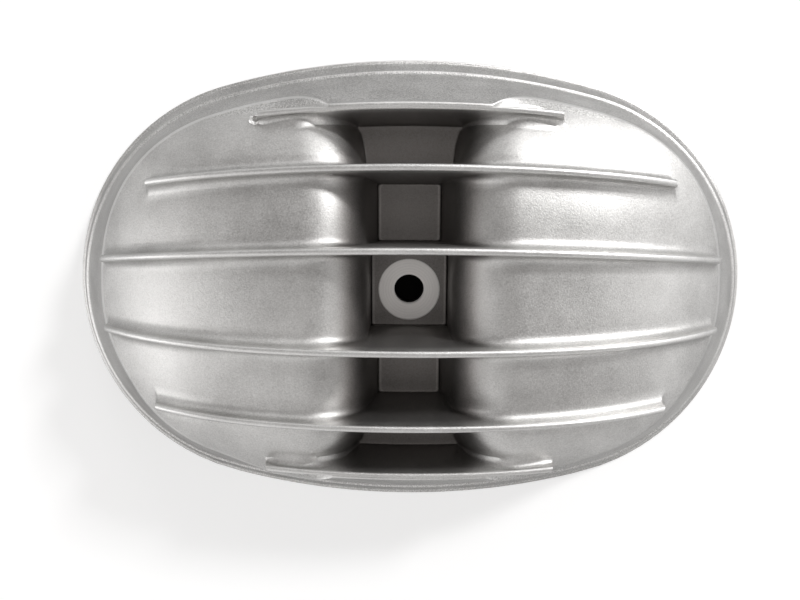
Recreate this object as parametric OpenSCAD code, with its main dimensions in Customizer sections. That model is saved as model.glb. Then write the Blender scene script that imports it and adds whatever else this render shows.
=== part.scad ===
// Engine valve cover, a one-piece casting held down by a single stud.
// The gasket face lies on z = 0 and the stud hole runs along the z axis.
// X runs along the cover and its fins, Y across it.

/* [Outline] */
// Length of the cover over its gasket lip
cover_l = 210; // [195:1:225]
// Width of the cover over its gasket lip
cover_w = 139; // [134:1:146]
// Radius of the two long side arcs of the oval, in plan
side_r = 219.6; // [205:0.1:235]

/* [Skirt] */
// Width of the flat top of the gasket lip
lip_w = 1.1; // [0.8:0.1:2]
// Height of the gasket lip
lip_h = 2; // [1:0.1:3]
// Height of the ledge that runs round the cover
ledge_z = 9; // [7:0.1:11]
// Width of the ledge
ledge_w = 1; // [0.6:0.1:2]
// Lean of the wall between lip and ledge, from the vertical
wall_lean = 28.5; // [20:0.5:30]

/* [Lobes] */
// Height of the top of the two lobes
crown_z = 45.2; // [42:0.1:48]
// How far the lobes fall from the middle to the outer fins
side_fall = 12.8; // [10:0.1:14]
// How far the lobes fall from the middle to the ends
end_fall = 22.6; // [19:0.1:24]
// How far the edge of the lobes lies inside the outline at the valley
edge_in = 13.6; // [12:0.1:15]
// How much farther inside it lies at the ends
edge_in_end = 3; // [1:0.1:4]
// Half the length along X from which the shoulder leaves the outer fins
flush_x = 24; // [20:0.5:26]
// Half the length along X at which the lobe edge has its own line
open_x = 36; // [34:0.5:38]

/* [Fins] */
// Thickness of each fin at its tip
fin_t = 1.8; // [1.4:0.1:2.4]
// Height of each fin above the lobes
fin_h = 4.4; // [3:0.1:6]
// Draft of the fins' sides
fin_draft = 1.7; // [0.5:0.1:2.5]
// Radius of the root of each fin on the lobes
fin_root_r = 2.8; // [1.5:0.1:3.5]

/* [Valley] */
// Height of the valley's floors
floor_z = 16.2; // [14:0.1:18]
// Half the length of the floors beside the middle pocket
floor_w = 9.3; // [8:0.1:11]
// Radius of the roll from the lobes into the valley
roll_r = 12.5; // [10:0.5:14]
// Distance from the middle at which that roll begins
roll_x = 27.5; // [26:0.5:30]

/* [Stud] */
// Height of the stud boss's face
boss_z = 14.7; // [13:0.1:16]
// Half the length of the boss's face
boss_w = 11.4; // [10.5:0.1:13]
// Diameter of the stud hole, a clearance hole for an 8 mm stud
stud_d = 9; // [8.4:0.1:10]
// Diameter of the machined seat round the stud hole
seat_d = 18.4; // [16:0.1:19]
// Depth of the machined seat below the boss's face
seat_cut = 0.5; // [0.2:0.1:1]
// Diameter of the column round the stud hole, inside the cover
column_d = 21; // [18:0.5:24]
// Height of the column's lower end
column_z = 5; // [3:0.5:8]

/* [Inside] */
// Thickness of the casting's skin
skin = 3.2; // [2.6:0.1:3.6]
// Width of the gasket face
gasket_w = 6; // [5:0.1:7]

/* [Hidden] */
cast_grey = [0.72, 0.72, 0.71];
// Overlap with which cutters run past a face
past = 1;

// The oval has four arcs, and every line inside it shares their centres. The end arcs get the
// radius with which they touch the side arcs
half_l = cover_l / 2;
half_w = cover_w / 2;
end_r = (2 * side_r * half_w - half_w * half_w - half_l * half_l) / (2 * (side_r - half_l));
arc_x = half_l - end_r;
arc_y = side_r - half_w;

// Fin lines from the outer pair to the inner pair: each one's distance from the middle over the
// valley as a share of half the width, the radius of its bow in plan, and how far along the lobe
// it reaches as a share of the way from the roll to the lobe's edge
fin_share = [0.707, 0.473, 0.182];
fin_bow_r = [370, 765, 1215];
fin_stop = [0.28, 0.8, 0.975];
// Share of the lobe over which a fin's end face slopes down
end_run = 0.025;

// How sharply the crown falls to its sides
side_power = 3.14;
// Parts of the fall to the ends that go with the square and the fourth power
square_part = 0.31;
fourth_part = 1 - square_part;
// Distance from the middle at which the end fall is measured, near the inner fins' ends
fall_x = half_l * 0.84;

// Floors of the outer pockets are longer, and widen by an arc towards the outer fins
outer_floor_w = 12.75;
outer_floor_more = 3.15;
// Small radius between the valley's floors and walls, and at the fins' roots there
corner_r = 0.8;
valley_root_r = 0.6;
// Root radius on the outer side of the outer fins
outer_root_r = 1.8;
// Share of the root radius that is left at the outer fins' ends
outer_root_left = 0.35;
// Where each fin's own strips end up at the lobe's edge, past its end
strip_shrink = 0.45;

ledge_in = lip_w + (ledge_z - lip_h) * tan(wall_lean);
shoulder_in = ledge_in + ledge_w;

function mix(a, b, t) = a + (b - a) * t;
function smooth(a, b, v) =
    let (t = max(0, min(1, (v - a) / (b - a))))
    t * t * (3 - 2 * t);

// Half width at x of the oval that lies d inside the outline
function oval_y(x, d) =
    let (join = arc_x * (1 + (end_r - d) / (side_r - end_r)))
    x > join ? sqrt(max(0, pow(end_r - d, 2) - pow(x - arc_x, 2)))
             : sqrt(pow(side_r - d, 2) - x * x) - arc_y;

// Point at height z on the oval d inside the outline, straight out from p
function on_oval(p, d, z) =
    let (at_end = p.x / (p.y + arc_y) > arc_x / arc_y,
         c = at_end ? [arc_x, 0] : [0, -arc_y],
         r = at_end ? end_r : side_r,
         out = [p.x - c.x, p.y - c.y] / norm([p.x - c.x, p.y - c.y]))
    [c.x + out.x * (r - d), c.y + out.y * (r - d), z];

function fin_y(i, x) = half_w * fin_share[i] - x * x / (2 * fin_bow_r[i]);

// Height of the lobes' crown
function crown(x, y) =
    crown_z - side_fall * pow(abs(y) / fin_y(0, 0), side_power)
    - end_fall * (square_part * pow(x / fall_x, 2) + fourth_part * pow(x / fall_x, 4));

function tip_z(i, x) = crown(x, fin_y(i, x)) + fin_h;

// Edge of the lobes: flush with the outer fin over the valley, then on a line of its own, which
// leaves the fin at an angle and bends into the oval
function own_edge(x) = 1 - pow(1 - max(0, min(1, (x - flush_x) / (open_x - flush_x))), 2);
function lobe_edge_y(x) = oval_y(x, edge_in + edge_in_end * pow(x / fall_x, 3));
function edge_y(x) = mix(fin_y(0, x) + fin_t / 2, lobe_edge_y(x), own_edge(x));

// Pocket 0 lies between fins 0 and 1, pocket 1 between fins 1 and 2, and pocket 2, with the stud
// boss, between fin 2 and its mirror image. t runs across a pocket from its outer fin
function pocket_floor_w(p, t) =
    p == 0 ? outer_floor_w + outer_floor_more * (1 - sqrt(1 - pow(1 - t, 2) * 0.9))
    : p == 1 ? floor_w : boss_w;
function pocket_floor_z(p) = p == 2 ? boss_z : floor_z;
function pocket_roll_x(p, t) = p == 0 ? roll_x + mix(3, 1.5, t) : roll_x;
function pocket_y(p, t, x) = p == 2 ? fin_y(2, x) * (1 - t) : mix(fin_y(p, x), fin_y(p + 1, x), t);

// Steps along a valley wall: -2 middle of the floor, -1 halfway to its edge, 0 its edge, 1 past
// the corner, 2 start of the roll, 6 its top
roll_steps = 4;
wall_steps = 2 + roll_steps;

// Point [x, z] at step k of a valley wall, s below the outer skin
function wall_point(p, t, k, s) =
    let (w = pocket_floor_w(p, t) + s,
         z0 = pocket_floor_z(p) - s,
         top = pocket_roll_x(p, t),
         y = pocket_y(p, t, top),
         z1 = crown(top, y),
         tilt = atan(crown(top - 0.5, y) - crown(top + 0.5, y)),
         r = roll_r - s,
         c = [top - roll_r * sin(tilt), z1 - roll_r * cos(tilt)],
         d = norm([c.x - w, c.y - z0]),
         lean = atan2(c.x - w, c.y - z0) - asin(r / d),
         run = sqrt(d * d - r * r),
         turn = corner_r * tan((90 - lean) / 2),
         a = mix(90 - lean, -tilt, (k - 2) / roll_steps))
    k <= 0 ? [(w - turn) * (1 + k / 2), z0]
    : k == 1 ? [w + turn * sin(lean), z0 + turn * cos(lean)]
    : k == 2 ? [w + run * sin(lean), z0 + run * cos(lean)]
    : [c.x - r * sin(a), c.y + r * cos(a)];

// Rows of the skin, from the lobe edge to the middle. A row is ["edge"], ["out", t],
// ["fin", fin, side, step] or ["mid", pocket, t]. A fin's steps go from its tip down its side:
// 0 tip, 1 top of the root, 2 its middle, 3 its foot
function root_r(i, side, k) =
    mix(valley_root_r, i == 0 && side > 0 ? outer_root_r : fin_root_r, smooth(0, wall_steps, k));

function root_left(i, s) = i == 0 ? mix(1, outer_root_left, smooth(0, fin_stop[0], s)) : 1;

// How far a fin's step lies from the fin's line, where the skin at its foot is at height z
function fin_off(i, side, step, x, z, k, s) =
    let (stop = fin_stop[i],
         high = max(0.5, tip_z(i, x) - z),
         r = min(root_r(i, side, k) * root_left(i, s), high * 0.7),
         own = fin_t / 2
             + (step > 0 ? (high - r) * tan(fin_draft) : 0)
             + (step == 2 ? 0.3 * r : step == 3 ? r : 0),
         shared = fin_t / 2 * [0.3, 0.5, 0.65, 0.8][step],
         shrink = s > stop ? mix(1, strip_shrink, (s - stop) / (1 - stop)) : 1)
    (i == 0 && side > 0 ? mix(shared, own, own_edge(x)) : own) * shrink;

function row_y(row, x, z, k, s) =
    row[0] == "fin" ? fin_y(row[1], x) + row[2] * fin_off(row[1], row[2], row[3], x, z, k, s)
    : row[0] == "mid" ?
        mix(row_y(["fin", row[1], -1, 3], x, z, k, s),
            row[1] == 2 ? 0 : row_y(["fin", row[1] + 1, 1, 3], x, z, k, s), row[2])
    : row[0] == "out" ?
        mix(row_y(["fin", 0, 1, 3], x, z, k, s), edge_y(x), mix(row[1], 1, smooth(0.5, 1, s)))
    : edge_y(x);

// Where a row ends at the lobe's edge, found by halving
function row_end(row, lo, hi, n = 18) =
    row[0] == "edge" ? 0.9 * row_end(["fin", 0, 1, 3], lo, hi)
    : row[0] == "out" ? row_end(["fin", 0, 1, 3], lo, hi) * mix(1, 0.9, row[1])
    : let (m = (lo + hi) / 2)
      n == 0 ? m
      : row_y(row, m, crown(m, row_y(row, m, crown(m, 0), wall_steps, 1)), wall_steps, 1)
        < lobe_edge_y(m)
          ? row_end(row, m, hi, n - 1)
          : row_end(row, lo, m, n - 1);

// Pocket that a row belongs to, and where it lies across it
function row_pocket(row) =
    row[0] == "mid" ? row[1] : row[0] == "fin" ? (row[2] < 0 ? row[1] : max(0, row[1] - 1)) : 0;
function row_t(row) =
    row[0] == "mid" ? row[2] : row[0] == "fin" && row[2] > 0 && row[1] > 0 ? 1 : 0;

// Point of the outer skin on a row, for a column [step up the wall, share of the lobe]
function skin_point(row, end, col) =
    let (k = col[0],
         s = col[1],
         p = row_pocket(row),
         t = row_t(row),
         // Fin tips lie midway between the columns of the pockets on both sides
         p2 = row[0] == "fin" && row[3] == 0 && row[1] > 0 ? (row[2] < 0 ? p - 1 : p + 1) : p,
         wall = (wall_point(p, t, k, 0) + wall_point(p2, p2 == p ? t : 1 - t, k, 0)) / 2,
         x = wall.x + (end - wall.x) * s,
         // The wall has the level of its pocket's line, which turns into the crown up the roll
         line = pocket_y(p, t, x),
         level = k == wall_steps ? crown(x, line) : wall_point(p, t, k, 0).y,
         ease = smooth(2, wall_steps, k),
         near = row[0] == "fin"
             ? fin_y(row[1], x) + row[2] * fin_off(row[1], row[2], 3, x, level, k, s) : line,
         foot = level + ease * (crown(x, near) - crown(x, line)),
         y = row_y(row, x, foot, k, s),
         bare = level + ease * (crown(x, y) - crown(x, line)),
         on_fin = row[0] == "fin" && s <= fin_stop[row[1]] + 0.001,
         high = on_fin ? tip_z(row[1], x) - foot : 0,
         r = on_fin ? min(root_r(row[1], row[2], k) * root_left(row[1], s), high * 0.7) : 0,
         own = !on_fin ? bare
             : row[3] == 0 ? foot + high
             : foot + r * [0, 1, 0.3, 0][row[3]],
         outer = row[0] == "edge" || row[0] == "out" || (row[0] == "fin" && row[1] == 0 && row[2] > 0))
    [x, y, outer ? mix(tip_z(0, x), own, own_edge(x)) : own];

fin_rows = [for (i = [0:2]) [
    [for (step = [3:-1:0]) ["fin", i, 1, step]],
    [for (step = [0:3]) ["fin", i, -1, step]]]];
skin_rows = concat(
    [["edge"], ["out", 0.5]],
    fin_rows[0][0], fin_rows[0][1], [for (t = [1:2]) ["mid", 0, t / 3]],
    fin_rows[1][0], fin_rows[1][1], [for (t = [1:3]) ["mid", 1, t / 4]],
    fin_rows[2][0], fin_rows[2][1], [["mid", 2, 0.5], ["mid", 2, 1]]);

// Columns: up the valley's wall, then along the lobe with a pair at each fin's end
skin_cols = concat(
    [for (k = [-2:wall_steps]) [k, 0]],
    [for (n = [1:4]) [wall_steps, fin_stop[0] * n / 4]],
    [for (n = [0:2]) [wall_steps, mix(fin_stop[0] + end_run, fin_stop[1], n / 3)]],
    [[wall_steps, fin_stop[1]], [wall_steps, fin_stop[1] + end_run],
     [wall_steps, mix(fin_stop[1] + end_run, fin_stop[2], 0.5)],
     [wall_steps, fin_stop[2]], [wall_steps, 1]]);

// Quarter of a skin, and the whole of it by mirror image
function whole(quarter) =
    let (nr = len(quarter) - 1, nc = len(quarter[0]) - 1)
    [for (r = [-nr:nr])
        [for (c = [-nc:nc])
            let (q = quarter[nr - abs(r)][abs(c)])
            [c < 0 ? -q.x : q.x, r > 0 ? -q.y : q.y, q.z]]];

// Border of a grid, clockwise seen from above, from its back left corner
function border(g) =
    let (nr = len(g) - 1, nc = len(g[0]) - 1)
    concat([for (c = [0:nc - 1]) g[0][c]],
           [for (r = [0:nr - 1]) g[r][nc]],
           [for (c = [nc:-1:1]) g[nr][c]],
           [for (r = [nr:-1:1]) g[r][0]]);

function mirrored(p, f) = [(p.x < 0 ? -1 : 1) * f.x, (p.y < 0 ? -1 : 1) * f.y, f.z];
function ring(b, d, z) = [for (p = b) mirrored(p, on_oval([abs(p.x), abs(p.y)], d, z))];

// Solid under a grid, closed by rings round its border from top to bottom
module skinned(g, rings) {
    nr = len(g);
    nc = len(g[0]);
    nb = 2 * (nr - 1) + 2 * (nc - 1);
    rim = concat([for (c = [0:nc - 2]) c],
                 [for (r = [0:nr - 2]) r * nc + nc - 1],
                 [for (c = [nc - 1:-1:1]) (nr - 1) * nc + c],
                 [for (r = [nr - 1:-1:1]) r * nc]);
    points = concat([for (r = g) each r], [for (r = rings) each r]);
    loops = concat([rim], [for (n = [0:len(rings) - 1]) [for (i = [0:nb - 1]) nr * nc + n * nb + i]]);
    top = [for (r = [0:nr - 2], c = [0:nc - 2], half = [0, 1])
        let (a = r * nc + c, b = a + 1, d = a + nc, e = d + 1)
        half == 0 ? [a, b, e] : [a, e, d]];
    sides = [for (n = [0:len(loops) - 2], i = [0:nb - 1], half = [0, 1])
        let (j = (i + 1) % nb, u = loops[n], v = loops[n + 1])
        half == 0 ? [u[j], u[i], v[i]] : [u[j], v[i], v[j]]];
    base = [for (i = [nb - 1:-1:0]) loops[len(loops) - 1][i]];
    polyhedron(points, concat(top, sides, [base]));
}

// The border's rounded edge: a point a little way down the shoulder
function below_edge(p) =
    let (q = [abs(p.x), abs(p.y)],
         s = on_oval(q, shoulder_in, ledge_z),
         a = [q.x, q.y, p.z],
         way = (s - a) / norm(s - a))
    mirrored(p, a + way * 0.9 + [0, 0, 0.12]);

module outer_skin() {
    g = whole([for (row = skin_rows)
        let (end = row_end(row, open_x, half_l - edge_in))
        [for (col = skin_cols) skin_point(row, end, col)]]);
    b = border(g);
    skinned(g, [
        [for (p = b) below_edge(p)],
        ring(b, shoulder_in, ledge_z),
        ring(b, ledge_in, ledge_z - 0.2),
        ring(b, lip_w, lip_h),
        ring(b, 0.3, lip_h - 0.1),
        ring(b, 0, lip_h - 0.5),
        ring(b, 0, -past)]);
}

// The hollow's own skin is coarser, and follows the lobes and the valley without the fins
core_rows = concat([["edge"]], [for (p = [0:2], t = [0:3]) ["mid", p, t / 4]], [["mid", 2, 1]]);
core_cols = concat([for (k = [-2:wall_steps]) [k, 0]], [for (n = [1:8]) [wall_steps, n / 8]]);

// How far the hollow's side lies inside the outline at height z
core_in = gasket_w + (ledge_z - skin) * 0.3;
function core_side(x, z) =
    let (lean = mix(0.5, 0.7, pow(min(1, x / fall_x), 2)))
    shoulder_in + skin * 1.15 + max(0, z - (ledge_z - skin)) * lean;

function core_point(row, end, col) =
    let (p = row_pocket(row),
         wall = wall_point(p, row_t(row), col[0], skin),
         x = wall.x + (end - wall.x) * col[1],
         line = row[0] == "edge" ? fin_y(0, x) : pocket_y(p, row_t(row), x),
         z = col[0] == wall_steps ? crown(x, line) - skin : wall.y,
         side = oval_y(x, core_side(x, z)))
    [x, row[0] == "edge" ? side : min(line, side), z];

function core_end(row, lo, hi, n = 18) =
    row[0] == "edge" ? 0.88 * core_end(core_rows[1], lo, hi)
    : let (m = (lo + hi) / 2, y = pocket_y(row_pocket(row), row_t(row), m))
      n == 0 ? m
      : y < oval_y(m, core_side(m, crown(m, y) - skin))
          ? core_end(row, m, hi, n - 1)
          : core_end(row, lo, m, n - 1);

module core() {
    g = whole([for (row = core_rows)
        let (end = core_end(row, open_x, half_l - edge_in))
        [for (col = core_cols) core_point(row, end, col)]]);
    b = border(g);
    skinned(g, [ring(b, core_in, ledge_z - skin), ring(b, gasket_w, 0), ring(b, gasket_w, -past)]);
}

module stud_column() {
    translate([0, 0, column_z]) cylinder(h = boss_z - column_z, d = column_d, $fn = 64);
}

module stud_hole() {
    translate([0, 0, -past]) cylinder(h = boss_z + 2 * past, d = stud_d, $fn = 64);
}

// The seat is spot-faced by a cutter that comes down between the inner fins
module stud_seat() {
    translate([0, 0, boss_z - seat_cut]) cylinder(h = seat_cut + past, d = seat_d, $fn = 64);
}

module valve_cover() {
    color(cast_grey)
    difference() {
        intersection() {
            outer_skin();
            translate([-half_l - past, -half_w - past, 0])
                cube([cover_l + 2 * past, cover_w + 2 * past, crown_z + 4 * fin_h]);
        }
        difference() {
            core();
            stud_column();
        }
        stud_hole();
        stud_seat();
    }
}

valve_cover();
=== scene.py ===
"""Looks of the engine valve cover: one blasted aluminium casting on a pale studio floor."""

import math

import bpy
import numpy as np
from mathutils import Matrix, Vector


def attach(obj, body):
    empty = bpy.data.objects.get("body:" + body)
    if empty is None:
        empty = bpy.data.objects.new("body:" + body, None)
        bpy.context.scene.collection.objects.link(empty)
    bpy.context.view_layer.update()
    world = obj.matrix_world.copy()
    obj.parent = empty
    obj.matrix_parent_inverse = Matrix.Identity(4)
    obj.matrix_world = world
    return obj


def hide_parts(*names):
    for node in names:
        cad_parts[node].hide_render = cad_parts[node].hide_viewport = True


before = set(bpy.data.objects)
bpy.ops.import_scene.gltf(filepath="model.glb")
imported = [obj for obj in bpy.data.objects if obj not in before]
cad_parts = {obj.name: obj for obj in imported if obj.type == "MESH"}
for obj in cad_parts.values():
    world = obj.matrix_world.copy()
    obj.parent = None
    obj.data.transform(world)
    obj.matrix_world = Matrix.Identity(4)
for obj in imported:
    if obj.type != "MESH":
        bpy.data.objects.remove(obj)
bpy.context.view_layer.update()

MM = 0.001

# The casting's sizes in millimetres and degrees, as in the part's source, but for four. The roll's
# radius and the place where the outer fins leave the rim are finer here (roll_r, flush_x). The lobes'
# edge on the near side lies further in, as in the photograph (near_edge_in), and the pip of flash is
# only here (pip_r). They are the named inputs of the node tree that shapes the casting.
SIZES = {
    "cover_l": 210, "cover_w": 139, "side_r": 219.6,
    "lip_w": 1.1, "lip_h": 2, "ledge_z": 9, "ledge_w": 1, "wall_lean": 28.5,
    "crown_z": 45.2, "side_fall": 12.8, "end_fall": 22.6,
    "edge_in": 13.6, "edge_in_end": 3, "near_edge_in": 3.3, "flush_x": 20.8, "open_x": 36,
    "fin_t": 1.8, "fin_h": 4.4, "fin_draft": 1.7, "fin_root_r": 2.8, "fin_tip_r": 0.8,
    "outer_fin_share": 0.707, "second_fin_share": 0.473, "inner_fin_share": 0.182,
    "outer_fin_bow": 370, "second_fin_bow": 765, "inner_fin_bow": 1215,
    "outer_fin_stop": 0.28, "second_fin_stop": 0.8, "inner_fin_stop": 0.975, "fin_end_run": 0.025,
    "floor_z": 16.2, "floor_w": 9.3, "roll_r": 15, "roll_x": 27.5, "boss_z": 14.7, "boss_w": 11.4,
    "outer_floor_w": 12.75, "outer_floor_more": 3.15, "corner_r": 0.8,
    "valley_root_r": 0.6, "outer_root_r": 1.8,
    "stud_d": 9, "seat_d": 18.4, "seat_cut": 0.5, "column_d": 21, "column_z": 5,
    "skin": 3.2, "gasket_w": 6, "rim_r": 0.9, "pip_r": 1.7,
}
# Power of the lobes' fall towards the sides, and the square part of their fall towards the ends
SIDE_POWER = 3.14
SQUARE_PART = 0.31
# Share of half the length at which the lobes have fallen by end_fall
FALL_SHARE = 0.84
# Share of a fin's width that its strip keeps where it has run out
STRIP_SHRINK = 0.45
# Share of the outer fins' root radius that is left at their ends
OUTER_ROOT_LEFT = 0.35
# How much smaller the roll's radius is beside the outer fins, and how much farther out it starts
# beside the outer and the second fin
OUTER_ROLL_LESS = 0.17
OUTER_ROLL_OUT = (3.0, 1.5)
# Step of the net at the top of the roll
ROLL_TOP = 6
# Radii of the shoulder, the ledge, the foot of the wall, the lip and its lower edge
SKIRT_ROUNDS = (0.9, 0.5, 0.6, 0.4, 0.15)
# Steps of the net round each of those edges
BENDS = (0.0, 0.25, 0.5, 0.75, 1.0)
# How far past its stop the outer fin's end carries the pip, and the pip's offset from there
PIP_PAST = 0.03
PIP_SHIFT = (-0.5, -0.8, 0.5)


# Sums on node sockets
class Field:
    """A node socket that takes part in Python sums. Each operator adds the Math node it stands for,
    and a sum that is written again takes the node it already has."""

    known = {}

    def __init__(self, tree, socket, key=None):
        self.tree = tree
        self.socket = socket
        self.key = key or (tree.as_pointer(), socket.node.name, socket.identifier)

    def math(self, operation, *values):
        parts = tuple(v.key if isinstance(v, Field) else float(v) for v in values)
        key = (self.tree.as_pointer(), operation) + parts
        if key not in Field.known:
            node = self.tree.nodes.new("ShaderNodeMath")
            node.operation = operation
            for socket, value in zip(node.inputs, values):
                feed(self.tree, socket, value)
            Field.known[key] = Field(self.tree, node.outputs[0], len(Field.known))
        return Field.known[key]

    def __add__(self, other):
        return self.math("ADD", self, other)

    def __radd__(self, other):
        return self.math("ADD", other, self)

    def __sub__(self, other):
        return self.math("SUBTRACT", self, other)

    def __rsub__(self, other):
        return self.math("SUBTRACT", other, self)

    def __mul__(self, other):
        return self.math("MULTIPLY", self, other)

    def __rmul__(self, other):
        return self.math("MULTIPLY", other, self)

    def __truediv__(self, other):
        return self.math("DIVIDE", self, other)

    def __rtruediv__(self, other):
        return self.math("DIVIDE", other, self)

    def __neg__(self):
        return self.math("MULTIPLY", self, -1.0)


def feed(tree, socket, value):
    """Links a field or a socket to a socket, or sets a plain value on it."""
    if isinstance(value, Field):
        value = value.socket
    if isinstance(value, bpy.types.NodeSocket):
        tree.links.new(value, socket)
    else:
        socket.default_value = value


def add_node(tree, kind, settings=None, **values):
    """A node of that kind. Its settings come first, then its sockets by name, spaces as _."""
    node = tree.nodes.new(kind)
    for name, value in (settings or {}).items():
        setattr(node, name, value)
    for name, value in values.items():
        wanted = name.replace("_", " ")
        socket = next(s for s in node.inputs if s.enabled and s.name.lower() == wanted.lower())
        feed(tree, socket, value)
    return node


def result(node):
    """The first output that a node's settings leave open."""
    return next(socket for socket in node.outputs if socket.enabled)


def blend(tree, factor, first, second, data_type="RGBA", **settings):
    """Mix of two colours, or of two vectors."""
    settings["data_type"] = data_type
    return result(add_node(tree, "ShaderNodeMix", settings, Factor=factor, A=first, B=second))


def grey(tree, red, green=1.0, blue=1.0):
    """Colour of a field that is its red, with its green and blue as shares of it."""
    node = add_node(tree, "ShaderNodeCombineColor", None, Red=red, Green=red * green, Blue=red * blue)
    return node.outputs[0]


def parts_of(tree, vector):
    """The three parts of a vector as fields."""
    split = add_node(tree, "ShaderNodeSeparateXYZ", None, Vector=vector)
    return [Field(tree, socket) for socket in split.outputs]


def both(operation, plain):
    """A function that works on numbers and arrays, and on fields as the node of that operation."""
    def apply(*values):
        for value in values:
            if isinstance(value, Field):
                return value.math(operation, *values)
        return plain(*values)
    return apply


least = both("MINIMUM", np.minimum)
most = both("MAXIMUM", np.maximum)
power = both("POWER", np.power)
root = both("SQRT", np.sqrt)
sine = both("SINE", np.sin)
cosine = both("COSINE", np.cos)
tangent = both("TANGENT", np.tan)
arc_sine = both("ARCSINE", np.arcsin)
arc_tangent = both("ARCTAN2", np.arctan2)
magnitude = both("ABSOLUTE", np.abs)
over = both("GREATER_THAN", lambda a, b: np.greater(a, b) * 1.0)


def mix(a, b, t):
    return a + (b - a) * t


def held(value, low=0.0, high=1.0):
    return least(most(value, low), high)


def smooth(a, b, value):
    t = held((value - a) / (b - a))
    return t * t * (3.0 - 2.0 * t)


def by_index(index, first, second, third):
    return first + (second - first) * over(index, 0.5) + (third - second) * over(index, 1.5)


# The casting's rules
class Shape:
    """The casting's surfaces as rules on its sizes, in millimetres. The sizes are numbers, or fields."""

    def __init__(self, size):
        for name, value in size.items():
            setattr(self, name, value)
        self.half_l = self.cover_l / 2
        self.half_w = self.cover_w / 2
        self.end_r = ((2 * self.side_r * self.half_w - self.half_w * self.half_w - self.half_l * self.half_l)
                      / (2 * (self.side_r - self.half_l)))
        self.arc_x = self.half_l - self.end_r
        self.arc_y = self.side_r - self.half_w
        self.ledge_in = self.lip_w + (self.ledge_z - self.lip_h) * tangent(self.wall_lean * (math.pi / 180))
        self.shoulder_in = self.ledge_in + self.ledge_w
        self.fall_x = self.half_l * FALL_SHARE
        self.draft = tangent(self.fin_draft * (math.pi / 180))

    # The oval of four arcs, and the lines inside it
    def oval_y(self, x, inside):
        join = self.arc_x * (1 + (self.end_r - inside) / (self.side_r - self.end_r))
        beside = x - self.arc_x
        end = root(most(power(most(self.end_r - inside, 0.0), 2.0) - beside * beside, 0.0))
        side = root(most(power(self.side_r - inside, 2.0) - x * x, 0.0)) - self.arc_y
        return mix(side, end, over(x, join))

    def oval_frame(self, x, y):
        """Centre and radius of the arc that a point belongs to, and the way out from it."""
        at_end = over(x * self.arc_y, self.arc_x * (y + self.arc_y))
        centre_x = self.arc_x * at_end
        centre_y = self.arc_y * (at_end - 1.0)
        radius = mix(self.side_r, self.end_r, at_end)
        dx, dy = x - centre_x, y - centre_y
        far = root(dx * dx + dy * dy)
        return centre_x, centre_y, radius, dx / far, dy / far, radius - far

    # Fins and crown
    def fin_share(self, i):
        return by_index(i, self.outer_fin_share, self.second_fin_share, self.inner_fin_share)

    def fin_stop(self, i):
        return by_index(i, self.outer_fin_stop, self.second_fin_stop, self.inner_fin_stop)

    def fin_y(self, i, x):
        bow = by_index(i, self.outer_fin_bow, self.second_fin_bow, self.inner_fin_bow)
        return self.half_w * self.fin_share(i) - x * x / (2.0 * bow)

    def crown(self, x, y):
        across = power(magnitude(y) / (self.half_w * self.outer_fin_share), SIDE_POWER)
        along = x / self.fall_x
        along = along * along
        return (self.crown_z - self.side_fall * across
                - self.end_fall * (SQUARE_PART * along + (1 - SQUARE_PART) * along * along))

    def tip_z(self, i, x):
        return self.crown(x, self.fin_y(i, x)) + self.fin_h

    def own_edge(self, x):
        left = 1.0 - held((x - self.flush_x) / (self.open_x - self.flush_x))
        return 1.0 - left * left

    def rim(self, x):
        """Radius of the lobes' rounded edge, smaller where it is the outer fin's own edge."""
        return mix(0.5, self.rim_r, self.own_edge(x))

    def lobe_edge_y(self, x, near):
        share = most(x / self.fall_x, 0.0)
        more = self.near_edge_in * smooth(34.0, 54.0, x) * near
        return self.oval_y(x, self.edge_in + self.edge_in_end * power(share, 3.0) + more + self.rim(x))

    def edge_y(self, x, near):
        flush = self.fin_y(0.0, x) + self.fin_t / 2 - self.rim(x)
        return mix(flush, self.lobe_edge_y(x, near), self.own_edge(x))

    # The valley's pockets: 0 and 1 beside the fins, 2 with the stud boss
    def pocket_y(self, pocket, across, x):
        inner = mix(self.fin_y(pocket + 1.0, x), 0.0, over(pocket, 1.5))
        return mix(self.fin_y(pocket, x), inner, across)

    def wall(self, pocket, across, step, under):
        """Point [x, z] on a valley's wall, a depth under the skin. Steps: -2 middle, 0 floor's edge,
        1 past its corner, 2 start of the roll, ROLL_TOP its top."""
        left = 1.0 - across
        outer_w = self.outer_floor_w + self.outer_floor_more * (1.0 - root(1.0 - left * left * 0.9))
        w = by_index(pocket, outer_w, self.floor_w, self.boss_w) + under
        low = by_index(pocket, self.floor_z, self.floor_z, self.boss_z) - under
        outer = 1.0 - over(pocket, 0.5)
        top = self.roll_x + mix(*OUTER_ROLL_OUT, across) * outer
        y = self.pocket_y(pocket, across, top)
        tilt = arc_tangent(self.crown(top - 0.5, y) - self.crown(top + 0.5, y), 1.0)
        roll_r = self.roll_r * (1.0 - OUTER_ROLL_LESS * left * outer)
        r = roll_r - under
        dx = top - roll_r * sine(tilt) - w
        dz = self.crown(top, y) - roll_r * cosine(tilt) - low
        far = root(dx * dx + dz * dz)
        lean = arc_tangent(dx, dz) - arc_sine(r / far)
        run = root(far * far - r * r)
        whole = math.pi / 2 - lean
        turn = self.corner_r * tangent(whole / 2.0)
        bend = whole * held(step)
        climb = (run - turn) * held(step - 1.0)
        a = mix(whole, -tilt, held((step - 2.0) / (ROLL_TOP - 2.0)))
        x = ((w - turn) * (1.0 + least(step, 0.0) / 2.0) + self.corner_r * sine(bend)
             + climb * sine(lean) + r * (sine(whole) - sine(a)))
        z = (low + self.corner_r * (1.0 - cosine(bend)) + climb * cosine(lean)
             + r * (cosine(a) - cosine(whole)))
        return x, z

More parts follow.
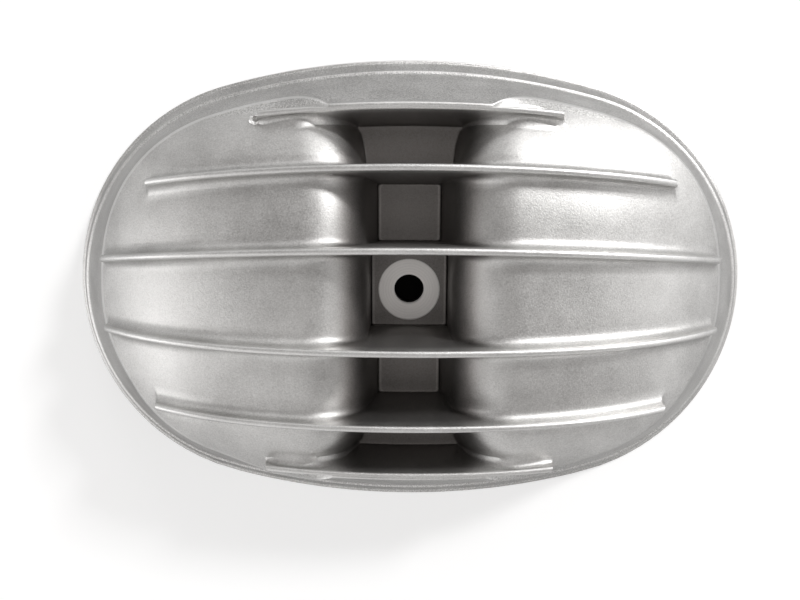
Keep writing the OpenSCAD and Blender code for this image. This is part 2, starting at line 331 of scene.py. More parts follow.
    # The outer skin. A row is a line along the cover and a column is a step up the valley's wall
    # (step) or a share of the lobe (along)
    def root_r(self, i, outside, step, along):
        outermost = 1.0 - over(i, 0.5)
        open_r = mix(self.fin_root_r, self.outer_root_r, outside * outermost)
        gone = held(along / self.outer_fin_stop)
        left = mix(1.0, OUTER_ROOT_LEFT, gone * gone * outermost)
        return mix(self.valley_root_r, open_r, smooth(0.0, ROLL_TOP, step)) * left

    def fin_side(self, i, outside, row, x, ground, step, along):
        """Distance of a fin's profile from its middle line, and its height over the ground."""
        high = most(self.tip_z(i, x) - ground, 0.5)
        r = least(self.root_r(i, outside, step, along), high * 0.7)
        quarter = row["turn"] * (math.pi / 2)
        tip_off = (self.fin_t / 2 - self.fin_tip_r * (1.0 - sine(quarter))) * row["half"]
        tip_up = high - self.fin_tip_r * (1.0 - cosine(quarter))
        side_off = self.fin_t / 2 + (high - r) * self.draft + r * (1.0 - cosine(quarter))
        off = mix(side_off, tip_off, row["tip"])
        up = mix(r * (1.0 - sine(quarter)), tip_up, row["tip"])
        pinched = mix(self.fin_t / 2 * row["pinch"], off, self.own_edge(x))
        off = mix(off, pinched, outside * (1.0 - over(i, 0.5)))
        stop = self.fin_stop(i)
        shrink = mix(1.0, STRIP_SHRINK, held((along - stop) / (1.0 - stop)))
        return off * shrink, up

    def foot_y(self, i, outside, x, ground, step, along):
        foot = {"tip": 0.0, "turn": 1.0, "half": 1.0, "pinch": 0.3}
        off, up = self.fin_side(i, outside, foot, x, ground, step, along)
        return self.fin_y(i, x) + off * (2.0 * outside - 1.0)

    def row_y(self, row, x, ground, step, along):
        off, up = self.fin_side(row["fin"], row["outside"], row, x, ground, step, along)
        on_fin = self.fin_y(row["fin"], x) + off * (2.0 * row["outside"] - 1.0)
        foot = self.foot_y(row["fin"], row["outside"], x, ground, step, along)
        below = self.foot_y(row["fin"] + 1.0, 1.0, x, ground, step, along)
        below = below * (1.0 - over(row["fin"], 1.5))
        t = mix(row["t"], mix(row["t"], 1.0, smooth(0.5, 1.0, along)), row["is_out"])
        between = mix(foot, mix(below, self.edge_y(x, row["near"]), row["is_out"]), t)
        return mix(between, on_fin, row["is_fin"]), up

    def skin_point(self, row):
        """Point of the outer skin for a row and a column."""
        step, along = row["step"], row["along"]
        wall_x, level = self.wall(row["pocket"], row["across"], step, 0.0)
        next_x, next_level = self.wall(row["next_pocket"], row["next_across"], step, 0.0)
        wall_x = mix(wall_x, (wall_x + next_x) / 2.0, row["tip"] * row["is_fin"])
        # On the near side a row ends earlier, and gives way past the end of its fin
        next_stop = self.fin_stop(row["fin"] + 1.0)
        between = row["t"] * (1.0 - row["is_fin"]) * (1.0 - row["is_out"])
        start = mix(self.fin_stop(row["fin"]), next_stop, between)
        start = least(start + 0.03, 0.9)
        late = held((along - start) / (1.0 - start))
        x = wall_x + (row["end"] - wall_x) * along - row["less"] * late * (late * 0.5 + 0.5)
        # The wall's level is that of its own line, and turns into the crown's towards the roll's top
        lobe = over(step, ROLL_TOP - 0.001)
        ease = smooth(2.0, ROLL_TOP, step)
        line = self.pocket_y(row["pocket"], row["across"], x)
        level = mix(level, self.crown(x, line), lobe)
        fin_line = self.fin_y(row["fin"], x)
        fin_ground = mix(level, self.crown(x, fin_line), lobe)
        foot = self.foot_y(row["fin"], row["outside"], x, fin_ground, step, along)
        ground = level + (self.crown(x, foot) - self.crown(x, line)) * ease * row["is_fin"]
        y, up = self.row_y(row, x, ground, step, along)
        bare = level + (self.crown(x, y) - self.crown(x, line)) * ease
        stop = self.fin_stop(row["fin"])
        rise = 1.0 - smooth(0.0, 1.0, (along - stop + 0.004) / (self.fin_end_run + 0.004))
        own = mix(bare, ground + up, row["is_fin"] * rise)
        outer_side = row["outside"] * row["is_fin"] * (1.0 - over(row["fin"], 0.5))
        outer = most(row["is_out"], outer_side)
        flush = self.tip_z(0.0, x)
        return x, y, mix(own, mix(flush, own, self.own_edge(x)), outer)

    def skirt_point(self, row, x, y, z):
        """Point below a border point of the skin: the rounded edge, shoulder, ledge, wall and lip."""
        centre_x, centre_y, radius, out_x, out_y, inside = self.oval_frame(x, y)
        rim = self.rim(x)
        edge_x, edge_y = x + out_x * rim, y + out_y * rim
        edge_z = mix(self.tip_z(0.0, edge_x), self.crown(edge_x, edge_y), self.own_edge(x))
        corners = [
            (inside, z), (inside - rim, edge_z), (self.shoulder_in, self.ledge_z),
            (self.ledge_in, self.ledge_z - 0.2), (self.lip_w, self.lip_h),
            (0.0 * inside, self.lip_h - 0.1), (0.0 * inside, 0.0), (self.gasket_w, 0.0)]
        rounds = (None, rim) + SKIRT_ROUNDS
        d, h = 0.0, 0.0
        for n in range(1, len(corners) - 1):
            (d0, h0), (d1, h1), (d2, h2) = corners[n - 1], corners[n], corners[n + 1]
            before = root((d1 - d0) * (d1 - d0) + (h1 - h0) * (h1 - h0))
            after = root((d2 - d1) * (d2 - d1) + (h2 - h1) * (h2 - h1))
            t = row["bend"]
            lead = least(rounds[n] / before, 1.0) * (1.0 - t) * (1.0 - t)
            tail = least(rounds[n] / after, 1.0) * t * t
            here = over(row["corner"], n - 0.5) * (1.0 - over(row["corner"], n + 0.5))
            d = d + here * (d1 + (d0 - d1) * lead + (d2 - d1) * tail)
            h = h + here * (h1 + (h0 - h1) * lead + (h2 - h1) * tail)
        return centre_x + out_x * (radius - d), centre_y + out_y * (radius - d), h

    # The hollow, one skin below
    def hollow_side(self, x, z):
        share = least(x / self.fall_x, 1.0)
        rise = most(z - (self.ledge_z - self.skin), 0.0)
        return self.oval_y(x, self.shoulder_in + self.skin * 1.15 + rise * mix(0.5, 0.7, share * share))

    def hollow_point(self, row):
        under = self.skin
        wall_x, level = self.wall(row["pocket"], row["across"], row["step"], under)
        x = wall_x + (row["end"] - wall_x) * row["along"]
        line = self.pocket_y(row["pocket"], row["across"], x)
        z = mix(level, self.crown(x, line) - under, over(row["step"], ROLL_TOP - 0.001))
        side = self.hollow_side(x, z)
        y = mix(least(line, side), side, row["is_out"])
        centre_x, centre_y, radius, out_x, out_y, inside = self.oval_frame(x, y)
        low = mix(self.gasket_w + (self.ledge_z - under) * 0.3, self.gasket_w, over(row["corner"], 1.5))
        low_z = (self.ledge_z - under) * (1.0 - over(row["corner"], 1.5))
        at = over(row["corner"], 0.5)
        return (mix(x, centre_x + out_x * (radius - low), at),
                mix(y, centre_y + out_y * (radius - low), at), mix(z, low_z, at))


# The net of rows and columns
def steps(first, last, count):
    return list(np.linspace(first, last, count))


def fin_rows(i):
    """Rows over a fin, from the foot on its outer side over its tip to the other foot."""
    def row(outside, tip, turn, half, pinch):
        return {"fin": i, "outside": outside, "tip": tip, "turn": turn, "half": half, "pinch": pinch,
                "is_fin": 1}
    root_turns, tip_turns = (1, 0.8, 0.6, 0.4, 0.2, 0), (1, 0.66, 0.33, 0)
    profile = [(0, turn, 1) for turn in root_turns] + [(1, turn, 1) for turn in tip_turns]
    side = [place_on + (0.3 * (1 - n / len(profile)),) for n, place_on in enumerate(profile)]
    middle = [row(1, 1, 0, 0, 0)]
    return [row(1, *s) for s in side] + middle + [row(0, *s) for s in reversed(side)]


def skin_rows():
    """Rows of a quarter of the skin, from the border of the lobes to the middle line."""
    rows = [{"is_out": 1, "outside": 1, "fin": 0, "t": t} for t in (1, 0.75, 0.5, 0.25)]
    for i, between in enumerate((8, 8, 7)):
        rows += fin_rows(i)
        rows += [{"fin": i, "t": n / between} for n in range(1, between + (1 if i == 2 else 0))]
    for row in rows:
        for name in ("is_fin", "is_out", "t", "tip", "turn", "half", "pinch", "outside"):
            row.setdefault(name, 0)
        above = row["is_fin"] and row["outside"] and row["fin"] > 0
        row["pocket"] = row["fin"] - 1 if above else row["fin"]
        row["across"] = 1 if above else row["t"] * (1 - row["is_out"]) * (1 - row["is_fin"])
        other = row["is_fin"] and row["fin"] > 0
        row["next_pocket"] = (row["fin"] if above else row["fin"] - 1) if other else row["pocket"]
        row["next_across"] = 1 - row["across"] if other else row["across"]
    return rows


def hollow_rows(count):
    """Rows of a quarter of the hollow, as many as the skin has."""
    rows = [{"pocket": 0, "across": 0, "is_out": 1}]
    for n in range(count - 1):
        spot = 3 * n / (count - 2)
        pocket = min(2, int(spot))
        rows.append({"pocket": pocket, "across": spot - pocket, "is_out": 0})
    return rows


def net_columns(size):
    """Pairs of step and share along, closer together where fins end."""
    up_wall = steps(-2, 0, 5)[:-1] + steps(0, 1, 5)[:-1] + steps(1, 2, 6)[:-1] + steps(2, ROLL_TOP, 15)
    columns = [(step, 0) for step in up_wall]
    stops = [size["outer_fin_stop"], size["second_fin_stop"], size["inner_fin_stop"]]
    run = size["fin_end_run"]
    marks = [0.0]
    for stop, count in zip(stops, (9, 16, 6)):
        start = stop - 0.008
        marks += steps(marks[-1], start, count)[1:]
        marks += steps(start, start + run + 0.008, 8)[1:] if stop < 0.97 else steps(start, 1, 5)[1:]
    return columns + [(ROLL_TOP, along) for along in marks[1:]]


def find_ends(shape, size, rows, hollow, near=0.0):
    """Where each row ends at the edge of the lobes or of the hollow, found by halving."""
    def value(name):
        return np.array([float(row.get(name, 0)) for row in rows])
    row = {name: value(name) for name in rows[0]}
    row["near"] = np.full(len(rows), near)
    low = np.full(len(rows), float(size["open_x"]))
    high = np.full(len(rows), size["cover_l"] / 2 - size["edge_in"] + 2.0)
    for _ in range(30):
        x = (low + high) / 2
        if hollow:
            y = shape.pocket_y(row["pocket"], row["across"], x)
            inside = y < shape.hollow_side(x, shape.crown(x, y) - size["skin"])
        else:
            y, up = shape.row_y(row, x, shape.crown(x, 0.0), 6.0, 1.0)
            y, up = shape.row_y(row, x, shape.crown(x, y), 6.0, 1.0)
            inside = y < shape.lobe_edge_y(x, near * smooth(5.0, 26.0, y))
        low = np.where(inside, x, low)
        high = np.where(inside, high, x)
    ends = (low + high) / 2
    if hollow:
        ends[0] = 0.88 * ends[1]
    else:
        foot = ends[4]
        for n in range(4):
            ends[n] = foot * mix(1, 0.9, rows[n]["t"])
    return ends


def net_mesh(name, size):
    """Flat net with the casting's rows and columns as attributes, for the node tree to shape."""
    plain = Shape({key: float(value) for key, value in size.items()})
    rows, columns = skin_rows(), net_columns(size)
    low_rows = hollow_rows(len(rows))
    ends = find_ends(plain, size, rows, False)
    less = ends - find_ends(plain, size, rows, False, 1.0)
    low_ends = find_ends(plain, size, low_rows, True)
    nr, nc = len(rows) - 1, len(columns) - 1
    names = ("fin", "outside", "is_fin", "is_out", "t", "tip", "turn", "half", "pinch", "pocket", "across",
             "next_pocket", "next_across", "step", "along", "end", "corner", "bend", "inner", "near",
             "less", "flip_x", "flip_y")
    points = []

    def point(r, c, inner, corner=0, bend=0.0):
        """Rows run from the border at +Y to the one at -Y, and columns from -X to +X."""
        n = nr - abs(r)
        step, along = columns[abs(c)]
        near = 1 if r > 0 else 0
        record = dict((low_rows if inner else rows)[n], step=step, along=along,
                      end=(low_ends if inner else ends)[n], corner=corner, bend=bend, inner=inner,
                      near=near, less=less[n] * near, flip_x=-1 if c < 0 else 1, flip_y=1 - 2 * near)
        points.append([float(record.get(key, 0)) for key in names])
        return len(points) - 1

    def grid(inner):
        return {(r, c): point(r, c, inner) for r in range(-nr, nr + 1) for c in range(-nc, nc + 1)}

    def ring(inner, corner, bend):
        return [point(r, c, inner, corner, bend) for r, c in border]

    border = ([(-nr, c) for c in range(-nc, nc)] + [(r, nc) for r in range(-nr, nr)]
              + [(nr, c) for c in range(nc, -nc, -1)] + [(r, -nc) for r in range(nr, -nr, -1)])
    faces = []
    upper, lower = grid(0), grid(1)
    for r in range(-nr, nr):
        for c in range(-nc, nc):
            faces.append((upper[r, c], upper[r + 1, c], upper[r + 1, c + 1], upper[r, c + 1]))
            faces.append((lower[r, c], lower[r, c + 1], lower[r + 1, c + 1], lower[r + 1, c]))
    loops = [[upper[key] for key in border]]
    for corner in range(1, len(SKIRT_ROUNDS) + 2):
        loops += [ring(0, corner, bend) for bend in (BENDS if corner > 1 else BENDS[1:])]
    loops += [ring(1, 2, 0), ring(1, 1, 0), [lower[key] for key in border]]
    for above, below in zip(loops, loops[1:]):
        for n in range(len(above)):
            m = (n + 1) % len(above)
            faces.append((above[n], above[m], below[m], below[n]))
    table = np.array(points)
    mesh = bpy.data.meshes.new(name)
    mesh.from_pydata([(0.0, 0.0, 0.0)] * len(points), [], faces)
    for n, key in enumerate(names):
        attribute = mesh.attributes.new("net_" + key, "FLOAT", "POINT")
        attribute.data.foreach_set("value", table[:, n].astype(np.float32))
    return mesh, {key: table[:, n] for n, key in enumerate(names)}


def place(shape, row):
    """The net's point for its attributes, in millimetres."""
    x, y, z = shape.skin_point(row)
    down_x, down_y, down_z = shape.skirt_point(row, x, y, z)
    below = over(row["corner"], 0.5)
    in_x, in_y, in_z = shape.hollow_point(row)
    x = mix(mix(x, down_x, below), in_x, row["inner"]) * row["flip_x"]
    y = mix(mix(y, down_y, below), in_y, row["inner"]) * row["flip_y"]
    return x, y, mix(mix(z, down_z, below), in_z, row["inner"])


# The node tree that shapes the casting
def solid_tool(tree, diameter, low, high, sides=96):
    """Upright cylinder on the z axis between two heights, all in fields of millimetres."""
    can = add_node(tree, "GeometryNodeMeshCylinder", None, Vertices=sides,
                   Radius=diameter * (MM / 2), Depth=(high - low) * MM)
    middle = add_node(tree, "ShaderNodeCombineXYZ", None, Z=(low + high) * (MM / 2))
    moved = add_node(tree, "GeometryNodeTransform", None, Geometry=can.outputs["Mesh"],
                     Translation=middle.outputs[0])
    return moved.outputs[0]


def flash_pip(tree, radius, middle):
    """Rough pip of flash with a small pit in its top, as the casting has at the end of one outer fin."""
    ball = add_node(tree, "GeometryNodeMeshIcoSphere", None, Radius=radius * MM, Subdivisions=4)
    lumps = add_node(tree, "ShaderNodeTexNoise", {"noise_dimensions": "4D"}, W=3.0, Scale=900.0, Detail=2.0)
    ways = add_node(tree, "GeometryNodeInputNormal")
    push = (Field(tree, lumps.outputs["Fac"]) - 0.5) * radius * (0.9 * MM)
    shift = add_node(tree, "ShaderNodeVectorMath", {"operation": "SCALE"}, Vector=ways.outputs[0],
                     Scale=push)
    lumpy = add_node(tree, "GeometryNodeSetPosition", None, Geometry=ball.outputs[0],
                     Offset=shift.outputs[0])
    # The pip is painted pale, as burnish and painted highlight
    lumpy = add_node(tree, "GeometryNodeStoreNamedAttribute", {"data_type": "FLOAT", "domain": "POINT"},
                     Geometry=lumpy.outputs[0], Name="worn_and_highlit_edge", Value=0.8)
    pit = add_node(tree, "GeometryNodeMeshIcoSphere", None, Radius=radius * (0.45 * MM), Subdivisions=3)
    raised = add_node(tree, "ShaderNodeCombineXYZ", None, X=radius * (0.15 * MM), Z=radius * (1.05 * MM))
    pit = add_node(tree, "GeometryNodeTransform", None, Geometry=pit.outputs[0],
                   Translation=raised.outputs[0])
    pitted = boolean(tree, "DIFFERENCE", lumpy.outputs[0], pit.outputs[0])
    return add_node(tree, "GeometryNodeTransform", None, Geometry=pitted, Translation=middle).outputs[0]


def boolean(tree, operation, first, second):
    """Joins two closed meshes, or cuts the second out of the first."""
    node = add_node(tree, "GeometryNodeMeshBoolean", {"operation": operation, "solver": "MANIFOLD"})
    sockets = {socket.identifier: socket for socket in node.inputs}
    feed(tree, sockets["Mesh 1" if operation == "DIFFERENCE" else "Mesh 2"], first)
    feed(tree, sockets["Mesh 2"], second)
    return node.outputs[0]


def burnish_and_highlight(shape, row, x, y):
    """Share of burnish and painted highlight: the rounded edges of rim, ledge and lip, and the fins' tips,
    painted pale as wear and as the light that they catch. The ledge and the lip keep little of it on the
    near and the left side, away from the light."""
    corner = row["corner"]
    bow = held(row["bend"] * (1.0 - row["bend"]) * 6.5)
    at_rim = over(corner, 0.5) - over(corner, 1.5)
    at_ledge = over(corner, 2.5) - over(corner, 3.5)
    at_lip = over(corner, 4.5) - over(corner, 5.5)
    # Painted shade: the near side and the left side face away from the light and keep less of the painted
    # highlight
    away_from_light = smooth(10.0, -30.0, y)
    edges = (at_ledge + at_lip) * (1.0 - away_from_light) * (0.15 + smooth(-60.0, 0.0, x) * 0.85)
    edges = edges + at_rim * (1.0 - away_from_light * smooth(-20.0, 20.0, x))
    own = mix(1.0, shape.own_edge(magnitude(x)), at_rim)
    # The fins' tips are painted a little paler, as wear and as painted highlight
    on_fin = row["tip"] * row["is_fin"] * over(shape.fin_stop(row["fin"]) + 0.01, row["along"])
    on_fin = on_fin * (1.0 - over(corner, 0.5)) * 0.3
    return most(bow * edges * (0.3 + own * 0.7), on_fin) * (1.0 - row["inner"])


def name_inputs(tree):
    """Gives the tree its sockets: the net, every size and the metal. Returns their identifiers."""
    def socket(name, kind, in_out="INPUT"):
        return tree.interface.new_socket(name, in_out=in_out, socket_type="NodeSocket" + kind)
    socket("Net", "Geometry")
    ids = {}
    for name, value in SIZES.items():
        size = socket(name.replace("_", " ").capitalize(), "Float")
        size.default_value = value
        ids[name] = size.identifier
    ids["metal"] = socket("Metal", "Material").identifier
    socket("Cover", "Geometry", "OUTPUT")
    return ids


def cover_tree(names, pip_at):
    """Places the net by the casting's rules, adds pip and column, and cuts the stud's hole and seat."""
    tree = bpy.data.node_groups.new("cover_shape", "GeometryNodeTree")
    tree.is_modifier = True
    ids = name_inputs(tree)
    given = add_node(tree, "NodeGroupInput")
    sockets = {socket.identifier: socket for socket in given.outputs}
    size = {name: Field(tree, sockets[ids[name]]) for name in SIZES}
    shape = Shape(size)
    row = {}
    for key in names:
        node = add_node(tree, "GeometryNodeInputNamedAttribute", {"data_type": "FLOAT"}, Name="net_" + key)
        row[key] = Field(tree, node.outputs[0])
    x, y, z = place(shape, row)
    where = add_node(tree, "ShaderNodeCombineXYZ", None, X=x * MM, Y=y * MM, Z=z * MM)
    shaped = add_node(tree, "GeometryNodeSetPosition", None, Geometry=given.outputs[0],
                      Position=where.outputs[0])
    # Each point keeps its share of burnish and painted highlight
    kept = add_node(tree, "GeometryNodeStoreNamedAttribute", {"data_type": "FLOAT", "domain": "POINT"},
                    Geometry=shaped.outputs[0], Name="worn_and_highlit_edge", Value=burnish_and_highlight(shape, row, x, y))
    body = boolean(tree, "UNION", kept.outputs[0], flash_pip(tree, size["pip_r"], pip_at))
    face, foot = size["boss_z"], size["column_z"]
    column = solid_tool(tree, size["column_d"], foot, face - 1.5)
    body = boolean(tree, "UNION", body, column)
    body = boolean(tree, "DIFFERENCE", body, solid_tool(tree, size["stud_d"], foot - 2, face + 2))
    seat = solid_tool(tree, size["seat_d"], face - size["seat_cut"], face + 1)
    body = boolean(tree, "DIFFERENCE", body, seat)
    # Faces are smooth, with a sharp edge where two of them meet at more than 34 degrees
    angle = add_node(tree, "GeometryNodeInputMeshEdgeAngle")
    sharp = over(Field(tree, angle.outputs[0]), math.radians(34))
    body = add_node(tree, "GeometryNodeSetShadeSmooth", {"domain": "FACE"}, Geometry=body,
                    Shade_Smooth=True)
    body = add_node(tree, "GeometryNodeSetShadeSmooth", {"domain": "EDGE"}, Geometry=body.outputs[0],
                    Selection=sharp, Shade_Smooth=False)
    made = add_node(tree, "GeometryNodeRealizeInstances", None, Geometry=body.outputs[0])
    painted = add_node(tree, "GeometryNodeSetMaterial", None, Geometry=made.outputs[0],
                       Material=sockets[ids["metal"]])
    add_node(tree, "NodeGroupOutput", None, Cover=painted.outputs[0])
    return tree, ids


def build_cover(metal):
    """The casting as one plain mesh, made by the node tree from the flat net."""
    mesh, net = net_mesh("valve_cover_net", SIZES)
    piece = bpy.data.objects.new("valve_cover_casting", mesh)
    bpy.context.scene.collection.objects.link(piece)
    # The pip sits where the outer fin's tip runs out, on the left of the photograph
    plain = Shape({name: float(value) for name, value in SIZES.items()})
    found = (net["is_fin"] * net["tip"] * (1 - net["half"]) * (1 - net["inner"]) * (net["corner"] == 0)
             * (net["fin"] == 0) * (net["flip_x"] < 0) * (net["flip_y"] > 0)) > 0
    gap = np.where(found, np.abs(net["along"] - SIZES["outer_fin_stop"] - PIP_PAST), 9.0)
    at_pip = place(plain, {key: values[np.argmin(gap)] for key, values in net.items()})
    pip_at = Vector([float(value) + shift for value, shift in zip(at_pip, PIP_SHIFT)]) * MM
    tree, ids = cover_tree(list(net), pip_at)
    modifier = piece.modifiers.new("cover_shape", "NODES")
    modifier.node_group = tree
    for name, value in SIZES.items():
        modifier[ids[name]] = float(value)
    modifier[ids["metal"]] = metal
    bpy.context.view_layer.update()
    shaped = piece.evaluated_get(bpy.context.evaluated_depsgraph_get())
    finished = bpy.data.meshes.new_from_object(shaped)
    finished.name = "valve_cover_casting"
    piece.modifiers.clear()
    piece.data = finished
    bpy.data.meshes.remove(mesh)
    for attribute in [a.name for a in finished.attributes if a.name.startswith("net_")]:
        finished.attributes.remove(finished.attributes[attribute])
    return piece


# The metal
def new_material(name):
    material = bpy.data.materials.new(name)
    material.use_nodes = True
    material.node_tree.nodes.clear()
    return material, material.node_tree


def finish_material(tree, **values):
    """Principled shader with those values, linked to the material's output."""
    shader = add_node(tree, "ShaderNodeBsdfPrincipled", None, **values)
    add_node(tree, "ShaderNodeOutputMaterial", None, Surface=shader.outputs[0])


def valley_painted_shade(x, y, z):
    """How far a point lies in the valley's painted shade, and the painted tone there. A point is in
    millimetres. Each floor is painted paler up to its rounded corners and darker beyond them, with a painted
    pale line along the edge as a highlight."""
    half_w = SIZES["cover_w"] / 2
    second, inner = SIZES["second_fin_share"] * half_w, SIZES["inner_fin_share"] * half_w
    across, along = magnitude(y), magnitude(x)
    below = Shape(SIZES).crown(x, y) - z
    painted_valley_shade = most(smooth(1.0, 12.0, below) * smooth(20.0, 13.0, along),
                smooth(-3.6, 1.5, below) * smooth(22.0, 15.0, along))
    painted_valley_shade = painted_valley_shade * smooth(49.0, 48.2, across)
    at_boss = over(inner, across)
    half_x = mix(SIZES["floor_w"], SIZES["boss_w"], at_boss) - 1.9
    half_y = mix((second - inner) / 2, inner, at_boss) - 3.1
    off_x = most(along - half_x, 0.0)
    off_y = most(magnitude(across - (second + inner) / 2 * (1.0 - at_boss)) - half_y, 0.0)
    beyond = mix(root(off_x * off_x + off_y * off_y) - 1.5, -2.0, over(across, second))
    # Painted highlight: a pale line along each floor's edge
    line = smooth(0.35, 0.1, magnitude(beyond + 0.4))
    at_floor = smooth(SIZES["floor_z"] + 0.8, SIZES["floor_z"] + 0.2, z)
    # Painted light and shade: floors paler inside their rounded corners, darker beyond them, and walls dark
    floor_painted_light = mix(0.46, 0.14, smooth(-0.1, 0.3, beyond)) + line * 0.18
    return painted_valley_shade, mix(0.40, floor_painted_light, at_floor)


def blasted_aluminium():
    """Cast aluminium with a fine blasted skin and the turned seat round the stud hole, with painted shade in
    the valley and burnish and painted highlight on its rounded edges.
    """
    material, tree = new_material("blasted_aluminium")
    coords = add_node(tree, "ShaderNodeTexCoord").outputs["Object"]
    x, y, z = parts_of(tree, coords)

    def noise(scale, detail, roughness=0.5):
        node = add_node(tree, "ShaderNodeTexNoise", None, Vector=coords, Scale=scale, Detail=detail,
                        Roughness=roughness)
        return Field(tree, node.outputs["Fac"]) - 0.5

    grain = noise(2500.0, 2.0, 0.6)
    pits = noise(1300.0, 3.0, 0.6)
    clouds = noise(70.0, 4.0, 0.6)
    wide = noise(24.0, 2.0)
    # Share of burnish and painted highlight on the rounded edges and fin tips
    worn_and_highlit = add_node(tree, "ShaderNodeAttribute", {"attribute_name": "worn_and_highlit_edge"})
    worn_and_highlit = Field(tree, worn_and_highlit.outputs["Fac"])

    # The seat is turned in rings, with a darker line round its rim
    radius = root(x * x + y * y)
    seat_low = (SIZES["boss_z"] - SIZES["seat_cut"] + 0.15) * MM
    seat = over(SIZES["seat_d"] / 2 * MM + 0.0001, radius) * over(seat_low, z) * over(z, 0.0095)
    rings = sine(radius * (2 * math.pi / 0.0008)) * 0.5
    rim_line = smooth(0.25, 0.1, magnitude(radius / MM - SIZES["seat_d"] / 2 + 0.1))

    # The skirt beside the outer fins keeps a coarser grain than the lobes
    outer_line = SIZES["outer_fin_share"] / 2 * SIZES["cover_w"]
    bowed = magnitude(y / MM) + x * x / (2 * SIZES["outer_fin_bow"] * MM * MM)
    skirt = smooth(outer_line + 1.2, outer_line + 2.2, bowed)
    tone = 0.5 + clouds * 0.95 + wide * 0.7 + grain * (1.2 + skirt * 2.6) + pits * 0.4
    colour = blend(tree, held(tone), (0.42, 0.414, 0.407, 1), (0.76, 0.754, 0.743, 1))

    # Painted shade: the metal is darkened deep in the valley between the fins, with floors painted paler
    # inside their rounded corners
    painted_valley_shade, shade = valley_painted_shade(x / MM, y / MM, z / MM)
    colour = blend(tree, painted_valley_shade * (1.0 - seat), colour, grey(tree, shade, 0.957, 0.94), blend_type="MULTIPLY")
    turned = seat * (0.86 + rings * 0.16) * (1.0 - rim_line * 0.6)
    colour = blend(tree, turned, colour, (0.97, 0.95, 0.93, 1))
    # Burnish and painted highlight: the rounded edges and fin tips are painted pale
    colour = blend(tree, held(worn_and_highlit), colour, (0.97, 0.965, 0.955, 1))

    rough = mix(0.48 - worn_and_highlit * 0.12 + clouds * 0.16 + grain * 0.25, 0.42 + rings * 0.1, seat)
    height = mix(grain * (1.0 + skirt * 1.2) + pits * 0.25, rings * 0.35 + grain * 0.25, seat)
    bump = add_node(tree, "ShaderNodeBump", None, Strength=0.6, Distance=0.00008, Height=height)
    # The cutter's grooves tip the seat's face outwards and inwards in turn
    tip_out = rings * 0.1 / most(radius, 0.001)
    groove = add_node(tree, "ShaderNodeCombineXYZ", None, X=x * tip_out, Y=y * tip_out, Z=1.0)
    groove = add_node(tree, "ShaderNodeVectorMath", {"operation": "NORMALIZE"}, Vector=groove.outputs[0])
    normal = blend(tree, seat, bump.outputs[0], groove.outputs[0], "VECTOR")
    finish_material(tree, Metallic=1.0, Roughness=rough, Base_Color=colour, Normal=normal)
    return material


# The studio
def paper():
    """Pale paper of the floor. The camera sees it near white, with the shadow kept, and reflections see it
    painted darker. It is painted dark under the cover, as shade where the stud hole looks down on it."""
    material, tree = new_material("studio_paper")
    coords = add_node(tree, "ShaderNodeTexCoord").outputs["Object"]
    x, y = parts_of(tree, coords)[:2]
    rays = add_node(tree, "ShaderNodeLightPath")
    by_camera = Field(tree, rays.outputs["Is Camera Ray"])
    mirrored = Field(tree, rays.outputs["Is Glossy Ray"])
    far = smooth(0.6, 2.2, root(x * x + y * y))
    clear_of_cover = smooth(0.8, 1.0, root(x * x / 0.0102 + y * y / 0.0045))
    glow = (by_camera * mix(0.46, 1.0, far) + mirrored * 0.03) * clear_of_cover
    # Painted shade: the paper is dark under the cover, and darker in reflections
    white = mix(0.02, 0.6 - mirrored * 0.22, clear_of_cover)
    finish_material(tree, Base_Color=grey(tree, white), Roughness=1.0, Specular_IOR_Level=0.0,
                    Emission_Color=grey(tree, glow), Emission_Strength=1.0)
    return material


def studio_world():
    """White surroundings that grow dim overhead, where the camera stands."""
    world = bpy.data.worlds.new("studio")
    world.use_nodes = True
    tree = world.node_tree
    tree.nodes.clear()
    ways = add_node(tree, "ShaderNodeTexCoord").outputs["Generated"]
    up = parts_of(tree, ways)[2]
    overhead = smooth(0.0, 0.8, up)
    camera = Field(tree, add_node(tree, "ShaderNodeLightPath").outputs["Is Camera Ray"])
    level = mix(mix(1.0, 0.27, overhead) + smooth(0.86, 0.97, up) * 0.18, 1.0, camera)
    tint = blend(tree, overhead * (1.0 - camera), (1, 1, 1, 1), (1, 0.97, 0.95, 1))
    sky = add_node(tree, "ShaderNodeBackground", None, Color=tint, Strength=level)
    add_node(tree, "ShaderNodeOutputWorld", None, Surface=sky.outputs[0])
    bpy.context.scene.world = world


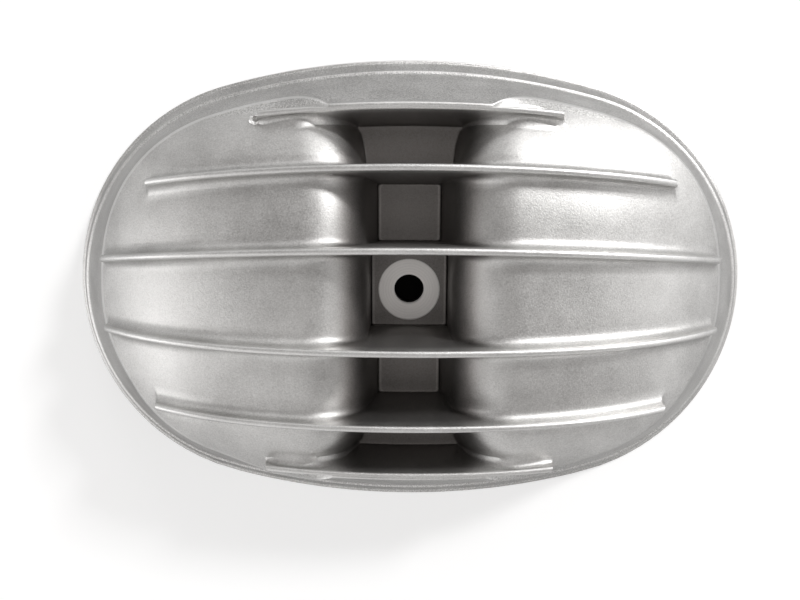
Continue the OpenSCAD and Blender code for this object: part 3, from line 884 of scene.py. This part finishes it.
def soft_lamp(name, azimuth, elevation, distance, size, watts):
    """Square soft box that looks at the middle of the cover."""
    light = bpy.data.lights.new(name, "AREA")
    light.size = size
    light.energy = watts
    lamp = bpy.data.objects.new(name, light)
    a, e = math.radians(azimuth), math.radians(elevation)
    lamp.location = Vector((math.cos(a) * math.cos(e), math.sin(a) * math.cos(e), math.sin(e))) * distance
    aim = Vector((0, 0, 0.03)) - lamp.location
    lamp.rotation_euler = aim.to_track_quat("-Z", "Y").to_euler()
    bpy.context.scene.collection.objects.link(lamp)


def photo_camera():
    """Camera matched to the photograph, for a frame of 800 by 600."""
    pitch, roll, yaw = (math.radians(angle) for angle in (6.732, -0.199, -0.417))
    turn = Matrix.Rotation(roll, 3, "Z") @ Matrix.Rotation(yaw, 3, "Y") @ Matrix.Rotation(pitch, 3, "X")
    data = bpy.data.cameras.new("photo_camera")
    data.sensor_width = 36
    data.lens = 600 / 800 * 36
    data.clip_start = 0.01
    camera = bpy.data.objects.new("photo_camera", data)
    stand = Matrix.Translation(Vector((-1.398, 17.941, 193.525)) * MM)
    camera.matrix_world = stand @ turn.transposed().to_4x4()
    bpy.context.scene.collection.objects.link(camera)
    bpy.context.scene.camera = camera


def studio_floor():
    """Square of paper, 6 m wide, on the plane of the gasket face."""
    mesh = bpy.data.meshes.new("studio_floor")
    half = 3.0
    corners = [(-half, -half, 0), (half, -half, 0), (half, half, 0), (-half, half, 0)]
    mesh.from_pydata(corners, [], [(0, 1, 2, 3)])
    floor = bpy.data.objects.new("studio_floor", mesh)
    floor.data.materials.append(paper())
    bpy.context.scene.collection.objects.link(floor)


cover = build_cover(blasted_aluminium())
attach(cover, "root")
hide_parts("valve_cover")
studio_floor()
studio_world()
soft_lamp("window_light", 45, 31, 1.6, 0.22, 16.0)
soft_lamp("right_light", -2, 32, 1.1, 0.7, 1.25)
soft_lamp("left_light", 190, 24, 1.0, 0.5, 1.7)
soft_lamp("near_light", 240, 44, 1.2, 1.2, 2.0)
soft_lamp("far_light", 77, 33, 1.6, 0.5, 2.6)
photo_camera()
bpy.context.scene.view_settings.view_transform = "Standard"
